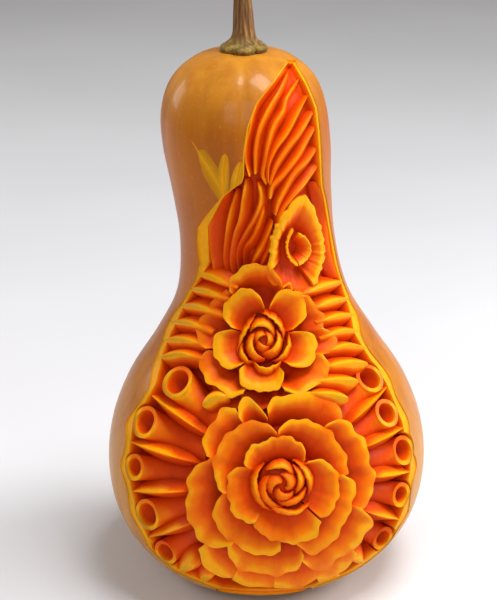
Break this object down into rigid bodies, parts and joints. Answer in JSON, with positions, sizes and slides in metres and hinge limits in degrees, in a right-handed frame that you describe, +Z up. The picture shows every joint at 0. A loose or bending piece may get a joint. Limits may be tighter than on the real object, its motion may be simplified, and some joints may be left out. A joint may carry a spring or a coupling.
{
  "type": "carved butternut squash",
  "caption": "Butternut squash standing on its blossom end, its front carved with roses, leaves, a bud and rolled petals, with its stem on top.",
  "frame": {"origin": "on the ground, in the flat spot that the squash stands on, under the middle of the bulb", "axes": "+Z up through the stem, -Y out of the carved side, +X to the right of a viewer who faces the carving"},
  "size_m": [0.176, 0.1707, 0.3414],
  "materials": {
    "squash": "waxy tan-orange skin outside, moist yellow to deep orange flesh where it is carved",
    "stem": "dry ridged brown stalk with a pale olive collar"
  },
  "bodies": {
    "root": {"squash_body": "squash", "stem": "stem"}
  },
  "joints": []
}
